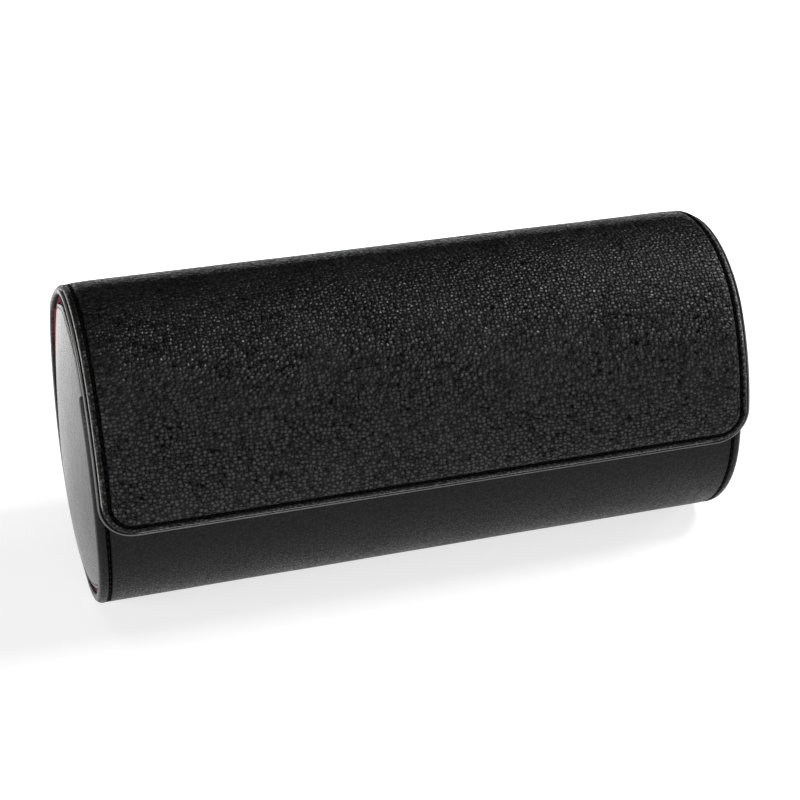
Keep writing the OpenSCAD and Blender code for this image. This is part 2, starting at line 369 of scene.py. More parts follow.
# A sheet with a finished edge on three sides. The rim is a grid of the edge's profile carried along
# the perimeter, where the point is perimeter + inset * inwards, and the field fills what it encloses.
def edgedSheet(name, path, reach, s0, s1, corner, table, insetFrom=0.0, mixing=flapShare,
               puffing=None, sink=0.0, facing=1):
    line = perimeter(reach, s0, s1, corner, insetFrom)
    bodyD, bodyH, flapD, flapH, share, groove, ply, grain = table.T
    k = mixing(line["s"])[:, None]
    inset = bodyD + (flapD - bodyD) * k
    depth = bodyH + (flapH + sink - bodyH) * k
    x = line["x"][:, None] + inset * line["ix"][:, None]
    s = line["s"][:, None] + inset * line["is"][:, None]
    lift = puffing(s) if puffing else np.zeros_like(s)
    depth = depth - lift * share - np.where(share > 0.2, waves(x, s) * share, 0)
    away = np.hypot(np.diff(inset, axis=1), np.diff(depth, axis=1))
    flatInset = inset[:, :1] - np.concatenate([np.zeros((len(x), 1)), np.cumsum(away, 1)], 1)
    flat = np.stack([line["x"][:, None] + flatInset * line["ix"][:, None],
                     line["s"][:, None] + flatInset * line["is"][:, None]], -1)
    rim = {"points": place(path, x, s, depth), "flat": flat,
           "values": {"groove": groove, "ply": ply * k, "grain": grain}}
    rows = line["rows"]
    left, right = (v - insetFrom for v in reach(rows))
    inner = table[0, 0]
    fx = (-left + inner)[:, None] + (left + right - 2 * inner)[:, None] * line["share"][None, :]
    fs = np.repeat(rows[:, None], fx.shape[1], 1)
    base = bodyH[0] + (flapH[0] + sink - bodyH[0]) * mixing(fs)
    lift = puffing(fs) if puffing else np.zeros_like(fs)
    fieldDepth = base - (lift + waves(fx, fs)) * share[0]
    field = {"points": place(path, fx, fs, fieldDepth), "flat": np.stack([fx, fs], -1),
             "values": {"groove": 0.0, "ply": 0.0, "grain": 1.0}}
    i, j = len(rows) // 2, fx.shape[1] // 2
    ny, nz = follow(path, fs[i, j])[2:]
    return surface(name, [rim, field],
                   outside=(field["points"][i, j], (0, facing * float(ny), facing * float(nz))))


wrap = edgedSheet("wrapLeather", wrapPath, wrapReach, 0.0, wrapEnd, leather["flapCorner"], skinEdge,
                  puffing=flapPuff, sink=leather["sink"])
thicken(wrap, leather["skin"])
print("Wrap leather:", len(wrap.data.polygons), "faces")


sheetShift = (60.0, 300.0)   # moves the waves and the grain on, so that no two sheets match


# A sheet with a finished edge at its two ends only: rows down the path, and columns of the left
# edge's profile, the field and the right edge's profile.
def endedSheet(name, path, half, s0, s1, insets, depths, groove, grain, step=1.6, facing=1):
    rows = spread(s0, s1, step)
    fieldX = spread(-half + insets[0], half - insets[0], 3.0)[1:-1]
    x = np.concatenate([-half + insets[::-1], fieldX, half - insets])
    depth = np.concatenate([depths[::-1], np.full(len(fieldX), depths[0]), depths])
    away = runAlong(insets, depths)
    flatEdge = half - insets[0] + away
    flatX = np.concatenate([-flatEdge[::-1], fieldX, flatEdge])
    grooves = np.concatenate([groove[::-1], np.zeros(len(fieldX)), groove])
    grains = np.concatenate([grain[::-1], np.ones(len(fieldX)), grain])
    x, s = np.meshgrid(x, rows)
    wave = waves(x + sheetShift[0], s + sheetShift[1])
    depth = depth - np.where(np.abs(x) < half - leather["stillEdge"], wave, 0)
    flat = np.stack([np.broadcast_to(flatX, x.shape), s + sheetShift[1]], -1)
    grid = {"points": place(path, x, s, depth), "flat": flat,
            "values": {"groove": grooves, "ply": 0.0, "grain": grains}}
    i, j = x.shape[0] // 2, x.shape[1] // 2
    ny, nz = follow(path, s[i, j])[2:]
    return surface(name, [grid],
                   outside=(grid["points"][i, j], (0, facing * float(ny), facing * float(nz))))


front = endedSheet("frontLeather", frontPath, leather["halfLength"], 0.0, frontEnd,
                   skinEdge[:, 0], skinEdge[:, 1], skinEdge[:, 5], skinEdge[:, 7])
thicken(front, leather["skin"])
print("Front leather:", len(front.data.polygons), "faces")


binding = {
    "height": 5.0, "over": 1.2, "start": 0.5, "proud": 0.3, "thick": 0.6, "run": 3.0, "edge": 0.25,
    "short": 0.2, "endRound": 1.4, "droop": 1.1, "droopOver": 1.5, "flatFrom": 600.0,
}


# A closed loop of the folded strip, carried along the case. Each point is (distance down the wall
# from its top edge, depth); the fold over the edge is half an ellipse. Toward the strip's two ends it
# narrows round its middle and lowers by the sine of a quarter turn.
def bindingGrid():
    fold = np.linspace(0, np.pi, 15)
    middle = case["wall"] / 2
    outer = middle + binding["proud"]
    inner = outer - binding["thick"]
    height, start, run, edge = (binding[key] for key in ("height", "start", "run", "edge"))
    over = binding["over"] + start
    down = np.concatenate([[height, height - edge, run], start - over * np.sin(fold),
                           [run, height - edge, height, height - 0.1, run],
                           start + 0.2 - (over - binding["thick"]) * np.sin(fold),
                           [run, height - 0.1]])
    depth = np.concatenate([[edge, 0.0, 0.0], outer - outer * np.cos(fold), [2 * outer] * 2,
                            [2 * outer - edge], [2 * outer - 2 * edge] * 2,
                            outer + inner * np.cos(fold), [2 * edge] * 2]) - binding["proud"]
    down, depth = np.append(down, down[0]), np.append(depth, depth[0])
    half, r = leather["halfLength"] - binding["short"], binding["endRound"]
    turn = np.linspace(0.26, np.pi / 2, 8)
    end = half - r + r * np.cos(turn) / np.cos(turn[0])
    x = np.concatenate([-end, spread(-half + r, half - r, 2.0)[1:-1], end[::-1]])
    full = np.concatenate([np.sin(turn), np.ones(len(x) - 2 * len(turn)), np.sin(turn)[::-1]])[:, None]
    away = runAlong(down, depth)
    lower = binding["droop"] * ease((binding["droopOver"] - down) / binding["droopOver"])
    x = np.broadcast_to(x[:, None], (len(x), len(down)))
    return {"points": place(frontPath, x, down + (1 - full) * lower, middle + (depth - middle) * full),
            "flat": np.stack([x, np.broadcast_to(away + binding["flatFrom"], x.shape)], -1),
            "values": {"groove": 0.0, "ply": 0.0, "grain": 1.0}}


bindingStrip = surface("frontBinding", [bindingGrid()], capped=True)


stitching = {
    "pitch": 2.6, "length": 2.2, "radius": 0.24, "slant": 0.09, "dip": 0.22,
    "depth": 0.28,         # of the thread's middle on the flap
    "backShare": 0.55,     # of that depth on the back
    "frontDepth": 0.2, "liningDepth": 2.74,
    "start": 1.0, "frontStart": 2.0, "frontStop": 1.0, "step": 1.0,
}


# One stitch per pitch along a line in the flat sheet. A stitch is a round of radius r * sqrt(1 - t^4)
# carried along t from -1 to 1, whose ends dip into the leather by the fourth power of t.
def stitchRow(name, path, x, s, ix, ins, depthAt, inner=False):
    along = runAlong(x, s)
    count = int(along[-1] / stitching["pitch"])
    start = (np.arange(count) + 0.5) * along[-1] / count
    t = np.array([-1.0, -0.88, -0.5, 0.0, 0.5, 0.88, 1.0])
    turn = np.linspace(0, 2 * np.pi, 9)
    radius = stitching["radius"] * np.sqrt(np.clip(1 - t ** 4, 0, 1))
    run = start[:, None, None] + 0.5 * stitching["length"] * t[None, :, None] + 0 * turn
    side = radius[None, :, None] * np.cos(turn) + stitching["slant"] * t[None, :, None] + 0 * run
    high = radius[None, :, None] * np.sin(turn) - stitching["dip"] * t[None, :, None] ** 4 + 0 * run
    px, ps = np.interp(run, along, x), np.interp(run, along, s)
    dx, ds = np.interp(run, along, ix), np.interp(run, along, ins)
    depth = depthAt(ps) + (high if inner else -high)
    points = place(path, px + side * dx, ps + side * ds, depth)
    grids = [{"points": points[k], "flat": np.stack([run[k], np.broadcast_to(
        turn * stitching["radius"], run[k].shape)], -1)} for k in range(count)]
    return surface(name, grids)


seamLine = perimeter(wrapReach, stitching["start"], wrapEnd, leather["flapCorner"], leather["seam"],
                     stitching["step"])


# The seam's depth at s: the back's, and the flap's with its border's sink.
def wrapSeamDepth(s):
    back = stitching["depth"] * stitching["backShare"]
    return back + (stitching["depth"] + leather["sink"] - back) * flapShare(s)


wrapThread = stitchRow("wrapStitches", wrapPath, seamLine["x"], seamLine["s"], seamLine["ix"],
                       seamLine["is"], wrapSeamDepth)
downLine = spread(stitching["frontStart"], frontEnd - stitching["frontStop"], stitching["step"])
frontThreads = []
for sideName, side in sides:
    across = np.full(len(downLine), side * (leather["halfLength"] - leather["seam"]))
    frontThreads.append(stitchRow("frontStitches" + sideName, frontPath, across, downLine,
                                  np.full(len(downLine), -side), np.zeros(len(downLine)),
                                  lambda s: np.full_like(s, stitching["frontDepth"])))
print("Stitches sewn")


lining = {"thick": 0.45, "flapInset": 1.6, "bodyInset": 0.75, "topClear": 0.6, "seamAfter": 8.0}

# The same columns as the leather's edge.
flapLiningEdge = np.array([
    (9.4, 3.10, 9.4, 2.80, 0, 0.0, 0, 1), (7.0, 3.10, 7.0, 2.80, 0, 0.0, 0, 1),
    (4.0, 3.10, 4.0, 2.80, 0, 0.0, 0, 1), (2.2, 3.10, 2.2, 2.80, 0, 0.0, 0, 1),
    (1.8, 3.10, 1.8, 2.78, 0, 0.3, 0, 1), (1.45, 3.10, 1.45, 2.62, 0, 1.0, 0, 1),
    (1.1, 3.10, 1.1, 2.78, 0, 0.3, 0, 1), (0.7, 3.10, 0.7, 2.80, 0, 0.0, 0, 1),
    (0.35, 3.07, 0.35, 2.78, 0, 0.0, 0, 1), (0.12, 2.98, 0.12, 2.70, 0, 0.0, 0, 1),
    (0.0, 2.85, 0.0, 2.58, 0, 0.0, 0, 1), (0.0, 2.65, 0.0, 2.38, 0, 0.0, 0, 1)], float)
hingeStart = pathLength(wrapPath[:2]) + case["crownRadius"] * math.radians(liningBack - joinAngle)
flapLining = edgedSheet("flapLining", wrapPath, wrapReach, hingeStart, wrapEnd,
                        leather["flapCorner"], flapLiningEdge, insetFrom=lining["flapInset"],
                        facing=-1)
thicken(flapLining, lining["thick"])
innerLine = perimeter(wrapReach, hingeS + lining["seamAfter"], wrapEnd, leather["flapCorner"],
                      leather["seam"], stitching["step"])
liningThread = stitchRow("liningStitches", wrapPath, innerLine["x"], innerLine["s"], innerLine["ix"],
                         innerLine["is"], lambda s: np.full_like(s, stitching["liningDepth"]), inner=True)

liningInsets = np.array([4.0, 1.2, 0.5, 0.2, 0.05, 0.0, 0.0])
liningDepths = np.array([3.12, 3.12, 3.1, 3.04, 2.94, 2.82, 2.6])
bodyLining = endedSheet("bodyLining", liningPath, leather["halfLength"] - lining["bodyInset"],
                        lining["topClear"], pathLength(liningPath), liningInsets, liningDepths,
                        np.zeros(7), np.ones(7), facing=-1)
thicken(bodyLining, lining["thick"])
print("Linings laid")


dome = {
    "base": 101.5, "tip": 108.0,   # x of the cover's edge and of the dome's highest point
    "sideRadius": 160.0, "topRadius": 420.0, "footRadius": 225.0, "centreZ": 1.0,
    "face": 99.0, "rim": 3.12,     # x of the board's inner face, and how far in its rim lies
    "slack": 0.04, "wrap": 0.36,   # how far the leather lies out from the rim, and more where it shows
    "offset": 4.3, "topOffset": 3.3, "topRun": 22.0, "topFade": 16.0,
    "gaps": ((1.3, 0.955, 0.032), (1.6, 0.6, 0.09)),   # width, place round the loop, spread
    "openRun": 36.0, "openFade": 2.6, "openBack": 27.0, "openBackFade": 3.0,
}


# The body's outline moved in by an offset, over equal steps round the loop.
def outlineLoop(offset, count):
    s = np.linspace(0, loopLength, count)
    y, z, ny, nz = follow(loopPath, s)
    return y - offset * ny, z - offset * nz, s


# The offset is less over the top, where the flap and not the body's wall goes round the cover, and
# two soft bumps of exp(-distance^2) open the gap near the hinge and at the foot's back.
def coverOffset(count):
    s = np.linspace(0, loopLength, count)
    fromTop = np.minimum(s, loopLength - s)
    wallShare = ease((fromTop - dome["topRun"]) / dome["topFade"])
    offset = dome["topOffset"] + (dome["offset"] - dome["topOffset"]) * wallShare
    for width, where, over in dome["gaps"]:
        offset = offset + width * np.exp(-((s / loopLength - where) / over) ** 2)
    return offset


# The dome falls away by distance^2 / (2 * radius), with one radius across it and two up and down.
def domeX(y, z):
    rise = z - dome["centreZ"]
    radius = np.where(rise > 0, dome["topRadius"], dome["footRadius"])
    return dome["tip"] - y ** 2 / (2 * dome["sideRadius"]) - rise ** 2 / (2 * radius)


# How open the board's rim is to view: 1 over the top, from the front wall's edge to the hinge.
def rimOpen(count):
    s = np.linspace(0, loopLength, count)
    return np.maximum(1 - ease((s - dome["openRun"]) / dome["openFade"]),
                      ease((s - loopLength + dome["openBack"]) / dome["openBackFade"]))


# Inset from the cover's edge, lift over the dome, groove: the bead, its groove and the field.
coverRows = [
    (0.0, -1.0, 0), (0.03, -0.62, 0), (0.14, -0.32, 0), (0.34, -0.12, 0), (0.62, -0.04, 0),
    (0.92, -0.08, 0), (1.15, -0.22, 0.4), (1.32, -0.42, 1.0), (1.48, -0.28, 0.5), (1.7, -0.1, 0),
    (2.1, 0.0, 0), (2.8, 0.05, 0), (4.0, 0.08, 0), (6.0, 0.1, 0), (9.0, 0.1, 0), (13.0, 0.08, 0),
    (17.0, 0.05, 0), (20.0, 0.02, 0), (23.0, 0.0, 0),
]
middleShares = (0.88, 0.76, 0.64, 0.52, 0.4, 0.3, 0.2, 0.1, 0.0)


# Loops of the outline from the board's face round its rim and back, over the bead and its groove and
# on over the dome to its middle. The first loops are (offset, x), then come the rows, and the last
# ones shrink to the middle by their shares.
def coverGrid(side, count=241):
    offsets = coverOffset(count)
    inner = dome["rim"] + np.zeros(count)
    outer = inner - dome["slack"] - dome["wrap"] * rimOpen(count)
    base, face = dome["base"], dome["face"]
    folds = [(inner + 8.0, base), (inner, base), (inner, face), (inner + 2.0, face),
             (inner + 2.0, face - 0.1), (outer + 0.2, face - 0.12), (outer + 0.03, face),
             (outer, face + 0.3), (outer, base - 0.3), (outer + 0.1, base - 0.05), (offsets, base + 0.05)]
    points, flats, grooves = [], [], []

    def add(x, y, z, groove, flat):
        points.append(ringAt(side * x, y, z))
        flats.append(flat)
        grooves.append(np.full(count, groove, float))

    for offset, x in folds:
        y, z, s = outlineLoop(offset, count)
        add(x, y, z, 0, np.stack([s, np.full(count, x - offset.mean())], -1))
    for inset, lift, groove in coverRows:
        y, z, s = outlineLoop(offsets + inset, count)
        add(np.maximum(domeX(y, z) + lift, base + 0.1), y, z, groove, np.stack([y, z], -1))
    edgeY, edgeZ, y0, z0 = y, z, y.mean(), z.mean()
    for share in middleShares:
        y, z = y0 + (edgeY - y0) * share, z0 + (edgeZ - z0) * share
        add(domeX(y, z), y, z, 0, np.stack([y, z], -1))
    hub = np.broadcast_to(ringAt(side * base, y0, z0), points[0].shape)
    return [{"points": np.array(points) * mm, "flat": np.array(flats),
             "values": {"groove": np.array(grooves), "ply": 0.0, "grain": 1.0}},
            {"points": np.array([hub, points[0]]) * mm, "flat": np.array([flats[-1], flats[0]]),
             "values": {"groove": 0.0, "ply": 0.0, "grain": 1.0}}]


# A flat padded shape from loops: each loop lies at its own x, and both faces close on a middle point.
def loopSolid(name, loops, xs, middle):
    points = [ringAt(x, y, z) for (y, z), x in zip(loops, xs)]
    first, last = (np.broadcast_to(ringAt(x, *np.array(middle, float)), points[0].shape)
                   for x in (xs[0], xs[-1]))
    points = np.array([first] + points + [last])
    return surface(name, [{"points": points * mm, "flat": points[..., 1:]}])


endLining = {"clear": 0.1, "middle": (0, 12)}

# Inset from the section's edge and x.
endLiningRows = [(24, 98.1), (12, 98.1), (6, 98.15), (3, 98.25), (1.5, 98.35), (0.6, 98.5),
                 (0.15, 98.7), (0.0, 99.0), (0.3, 99.0), (20, 99.0)]
endLiningLoops = [outlineLoop(case["wall"] + endLining["clear"] + inset, 161)[:2]
                  for inset, x in endLiningRows]
covers, endLinings = [], []
for sideName, side in sides:
    covers.append(surface("endCover" + sideName, coverGrid(side)))
    xs = [side * x for inset, x in endLiningRows]
    endLinings.append(loopSolid("endLining" + sideName, endLiningLoops, xs, endLining["middle"]))
print("Ends covered")


divider = {"half": 2.5, "top": 42.0, "step": 67.267, "rounding": 6, "middle": (0, 8)}


# The divider's edge at an inset: the body's inside below the top line, closed by the line. Its two
# corners are rounded by taking a few times (before + 2 * here + after) / 4 at each point.
def dividerLoop(inset, count=161):
    fine = np.linspace(0, loopLength, 2001)
    y, z, ny, nz = follow(loopPath, fine)
    y, z = y - (case["wall"] + inset) * ny, z - (case["wall"] + inset) * nz
    keep = z < divider["top"] - inset
    y, z = y[keep], z[keep]
    y, z = np.append(y, y[0]), np.append(z, z[0])
    along = runAlong(y, z)
    even = np.linspace(0, along[-1], count * 4)
    y, z = np.interp(even, along, y), np.interp(even, along, z)
    for _ in range(divider["rounding"]):
        y, z = ((np.roll(v[:-1], 1) + 2 * v[:-1] + np.roll(v[:-1], -1)) / 4 for v in (y, z))
        y, z = np.append(y, y[0]), np.append(z, z[0])
    return y[::4], z[::4]


# Inset from the divider's edge and share of its half thickness, from the middle out to the rim.
dividerRows = [(18, 1.12), (10, 1.1), (5, 1.05), (2.6, 0.98), (1.4, 0.9), (0.7, 0.78), (0.25, 0.6),
               (0.0, 0.3)]
dividerLoops = [dividerLoop(inset) for inset, thick in dividerRows]
dividerLoops += dividerLoops[::-1]
dividers = []
for sideName, side in sides:
    middle = side * divider["step"] / 2
    xs = [middle + divider["half"] * thick for inset, thick in dividerRows]
    xs += [middle - divider["half"] * thick for inset, thick in dividerRows[::-1]]
    dividers.append(loopSolid("divider" + sideName, dividerLoops, xs, divider["middle"]))
print("Dividers covered")


basePad = {"top": -23.0, "troughRadius": 27.3, "troughZ": -2.1, "halfLength": 30.9, "round": 1.4,
           "inFrom": 1.0}


# The pad's section: the body's inside up to the shoulders, across them and down round the trough.
def padLoop(inset):
    foot, corner = case["footHalf"], case["cornerRadius"] - case["wall"]
    top, r, troughZ = basePad["top"], basePad["troughRadius"], basePad["troughZ"]
    a = math.asin(-top / corner)
    left = np.linspace(np.pi + a, 1.5 * np.pi, 22)
    right = np.linspace(1.5 * np.pi, 2 * np.pi - a, 22)
    reach = math.sqrt(r ** 2 - (top - troughZ) ** 2)
    b = math.atan2(top - troughZ, reach)
    trough = np.linspace(b, -np.pi - b, 31)
    shoulder = np.linspace(foot + corner * math.cos(a) - basePad["inFrom"], reach + basePad["inFrom"], 6)
    level = np.full(6, top)
    y = np.concatenate([-foot + corner * np.cos(left), foot + corner * np.cos(right), shoulder,
                        r * np.cos(trough), -shoulder[::-1]])
    z = np.concatenate([corner * np.sin(left), corner * np.sin(right), level,
                        troughZ + r * np.sin(trough), level])
    y, z = np.append(y, y[0]), np.append(z, z[0])
    ty, tz = np.gradient(y), np.gradient(z)
    ty[0] = ty[-1] = y[1] - y[-2]
    tz[0] = tz[-1] = z[1] - z[-2]
    size = np.hypot(ty, tz) + 1e-9
    return y - inset * tz / size, z + inset * ty / size


# The pad's two ends are rounded by a quarter turn: x = end - r + r cos a and inset = r - r sin a.
r, half = basePad["round"], basePad["halfLength"]
turn = np.linspace(0, np.pi / 2, 6)
insets = np.concatenate([r - r * np.sin(turn), np.zeros(9), (r - r * np.sin(turn))[::-1]])
xs = np.concatenate([-half + r - r * np.cos(turn), np.linspace(-half + r, half - r, 11)[1:-1],
                     (half - r + r * np.cos(turn))[::-1]])
padLoops = [padLoop(inset) for inset in insets]
basePads = []
for sideName, number in thirds:
    rings = np.array([ringAt(x + number * divider["step"], y, z) for (y, z), x in zip(padLoops, xs)])
    basePads.append(surface("basePad" + sideName, [{"points": rings * mm, "flat": rings[..., :2]}],
                            capped=True))
print("Base pads covered")


cushion = {
    "width": 54.0, "height": 62.0, "length": 56.27, "bottom": -29.1,
    "shrink": 2.4, "round": 6.0,   # how much smaller it starts, and the rounding of its ends
    "voxel": 3.4, "pressure": 4.0, "frames": 20,
    "cap": 2.2,                    # how far the filling may push a point
    "seamX": 2.5, "seamNear": 2.6, "seamRadius": 18.5,   # the round of points that the seam holds
    "pipeIn": 1.0, "pipeX": 2.0, "pipeRadius": 0.7, "pipeRounding": 4,
}

# Heights of the middles of the section's two half rounds.
cushionLow = cushion["bottom"] + cushion["width"] / 2
cushionHigh = cushionLow + cushion["height"] - cushion["width"]


# The cushion's section at an inset: two half rounds joined by upright sides.
def cushionLoop(inset, count=72):
    r = cushion["width"] / 2 - inset
    a = np.linspace(-np.pi / 2, 1.5 * np.pi, count + 1)
    return r * np.cos(a), r * np.sin(a) + np.where(np.sin(a) > 0, cushionHigh, cushionLow)


# The form before it swells: the section carried along x, with its ends rounded by a quarter turn,
# inset = r - r cos a and x = end - r + r sin a, and closed by three loops further in.
def cushionStart():
    s, r = cushion["shrink"], cushion["round"]
    half = cushion["length"] / 2 - s
    ends = [(r - r * np.cos(a), half - r + r * np.sin(a)) for a in np.linspace(0, np.pi / 2, 7)]
    ends += [(12.0, half), (18.0, half), (22.0, half)]
    rows = [(inset, -x) for inset, x in ends[::-1]] + ends
    rings = np.array([ringAt(x, *cushionLoop(s + inset)) for inset, x in rows])
    return surface("cushionStart", [{"points": rings * mm, "flat": rings[..., :2]}], capped=True)


# Covers a form with even small faces, for the cloth solver.
def remeshed(obj, voxel):
    step = obj.modifiers.new("voxels", "REMESH")
    step.mode = "VOXEL"
    step.voxel_size = voxel * mm
    settle(obj)
    return obj


# Swells a form with the cloth solver, the seam rounds held. A point's way is then capped by
# limit * tanh(way / limit).
def swell(obj):
    rest = read(obj.data.vertices, "co")
    half = (cushion["length"] / 2 - cushion["shrink"]) * mm
    y = rest[:, 1] / mm - case["midY"]
    z = rest[:, 2] / mm - case["bellyHeight"]
    fromAxis = np.hypot(y, z - np.clip(z, cushionLow, cushionHigh))
    fromSeam = np.abs(np.abs(rest[:, 0]) - half + cushion["seamX"] * mm)
    atSeam = (fromSeam < cushion["seamNear"] * mm) & (fromAxis > cushion["seamRadius"])
    held = obj.vertex_groups.new(name="held")
    held.add([int(i) for i in np.flatnonzero(atSeam)], 1.0, "REPLACE")
    cloth = obj.modifiers.new("swell", "CLOTH")
    for setting, value in (("quality", 6), ("mass", 0.25), ("tension_stiffness", 12),
                           ("compression_stiffness", 12), ("shear_stiffness", 5),
                           ("bending_stiffness", 0.6), ("use_pressure", True),
                           ("uniform_pressure_force", cushion["pressure"]),
                           ("vertex_group_mass", "held")):
        setattr(cloth.settings, setting, value)
    cloth.settings.effector_weights.gravity = 0
    cloth.point_cache.frame_start = 1
    cloth.point_cache.frame_end = cushion["frames"]
    for number in range(1, cushion["frames"] + 1):
        bpy.context.scene.frame_set(number)
    settle(obj)
    bpy.context.scene.frame_set(1)
    shift = read(obj.data.vertices, "co") - rest
    size = np.linalg.norm(shift, axis=1, keepdims=True) + 1e-12
    limit = cushion["cap"] * mm
    soft = limit * np.tanh(size / limit)
    obj.data.vertices.foreach_set("co", (rest + shift / size * soft).ravel())
    print("Cushion swelled by up to", round(float(soft.max()) / mm, 2), "mm")


# Splits every face once and rounds the form.
def smoothed(obj):
    finer = obj.modifiers.new("finer", "SUBSURF")
    finer.levels = finer.render_levels = 1
    settle(obj)


# Slow dents of a soft filling, in mm: products of two sine waves, shifted from cushion to cushion.
def dents(points, seed):
    x, y, z = points.T / mm
    return 0.25 * (np.sin(x / 9.0 + seed) * np.sin(z / 11.0 + 2 * seed)
                   + np.sin(y / 8.0 + 3 * seed) * np.cos(x / 13.0 - seed))


# A round cord carried along a closed line of points: centre + radius * (across, away).
def cordRing(name, line, away, radius, corners=8):
    ahead = np.roll(line, -1, 0) - np.roll(line, 1, 0)
    ahead /= np.linalg.norm(ahead, axis=1, keepdims=True)
    across = np.cross(ahead, away)
    across /= np.linalg.norm(across, axis=1, keepdims=True)
    away = np.cross(across, ahead)
    turn = np.linspace(0, 2 * np.pi, corners + 1)
    ring = line[:, None, :] + radius * (across[:, None, :] * np.cos(turn)[None, :, None]
                                        + away[:, None, :] * np.sin(turn)[None, :, None])
    ring = np.concatenate([ring, ring[:1]])
    run = np.concatenate([[0], np.cumsum(np.linalg.norm(np.diff(ring[:, 0], axis=0), axis=1))]) / mm
    flat = np.stack(np.broadcast_arrays(run[:, None], (turn * radius / mm)[None, :]), -1)
    return surface(name, [{"points": ring, "flat": flat}])


filled = remeshed(cushionStart(), cushion["voxel"])
swell(filled)
smoothed(filled)
base, normal = read(filled.data.vertices, "co"), read(filled.data.vertices, "normal")
skin = BVHTree.FromObject(filled, bpy.context.evaluated_depsgraph_get())

cushions, pipings = [], []
for sideName, number in thirds:
    shift = np.array([number * divider["step"] * mm, 0, 0])
    copy = filled.data.copy()
    dent = dents(base, 1.7 * number + 0.4)[:, None] * mm
    copy.vertices.foreach_set("co", (base + normal * np.minimum(dent, 0) + shift).ravel())
    copy.polygons.foreach_set("use_smooth", np.ones(len(copy.polygons), bool))
    cushions.append(newObject("cushion" + sideName, copy))
    for end, side in (("A", -1), ("B", 1)):
        x = side * (cushion["length"] / 2 - cushion["shrink"] - cushion["pipeX"])
        seed = ringAt(x, *cushionLoop(cushion["shrink"] + cushion["pipeIn"], 144))[:-1] * mm
        line = np.array([list(skin.find_nearest(Vector(p))[0]) for p in seed])
        for _ in range(cushion["pipeRounding"]):
            line = (np.roll(line, 1, 0) + 2 * line + np.roll(line, -1, 0)) / 4
        middle = np.array([0, case["midY"], case["bellyHeight"] + 2]) * mm
        away = line - middle
        away /= np.linalg.norm(away, axis=1, keepdims=True)
        pipings.append((cordRing("cushionPiping" + sideName + end, line + shift, away,
                                 cushion["pipeRadius"] * mm), sideName.lower()))
bpy.data.objects.remove(filled)
print("Cushions filled")


# Sets inputs of a node: a socket is linked, and a plain value goes on the input itself.
def feed(tree, node, values):
    for key, value in values.items():
        if isinstance(value, bpy.types.NodeSocket):
            tree.links.new(value, node.inputs[key])
        else:
            node.inputs[key].default_value = value


# A new node with its settings and inputs.
def put(tree, kind, values=None, **settings):
    made = tree.nodes.new(kind)
    for key, value in settings.items():
        setattr(made, key, value)
    feed(tree, made, values or {})
    return made


def calc(tree, operation, a, b=0.0, c=0.0):
    return put(tree, "ShaderNodeMath", {0: a, 1: b, 2: c}, operation=operation).outputs[0]


# Carries low..high over to toLow..toHigh with a level start and end.
def remap(tree, value, low, high, toLow=0.0, toHigh=1.0):
    made = put(tree, "ShaderNodeMapRange",
               {"Value": value, "From Min": low, "From Max": high, "To Min": toLow, "To Max": toHigh},
               interpolation_type="SMOOTHSTEP")
    return made.outputs["Result"]


def blendColours(tree, factor, a, b):
    return put(tree, "ShaderNodeMix", {0: factor, 6: a, 7: b}, data_type="RGBA").outputs[2]


def noise(tree, vector, scale, detail, roughness=0.5):
    return put(tree, "ShaderNodeTexNoise", {"Vector": vector, "Scale": scale, "Detail": detail,
                                            "Roughness": roughness}).outputs


def cells(tree, vector, scale, randomness=1.0, feature="F1"):
    return put(tree, "ShaderNodeTexVoronoi", {"Vector": vector, "Scale": scale,
                                              "Randomness": randomness},
               feature=feature).outputs["Distance"]


def stretched(tree, vector, scale, turn=(0, 0, 0)):
    return put(tree, "ShaderNodeMapping", {"Vector": vector, "Scale": scale,
                                           "Rotation": turn}).outputs[0]


# The normal that a height in mm gives.
def bumped(tree, height):
    return put(tree, "ShaderNodeBump", {"Height": height, "Strength": 1.0, "Distance": mm}).outputs[0]


# A node group, with its inputs (name, kind, value) and outputs (name, kind).
def newGroup(name, ins, outs):
    group = bpy.data.node_groups.new(name, "ShaderNodeTree")
    for label, kind, value in ins:
        socket = group.interface.new_socket(label, in_out="INPUT", socket_type="NodeSocket" + kind)
        if value is not None:
            socket.default_value = value
    for label, kind in outs:
        group.interface.new_socket(label, in_out="OUTPUT", socket_type="NodeSocket" + kind)
    return group, group.nodes.new("NodeGroupInput").outputs, group.nodes.new("NodeGroupOutput").inputs
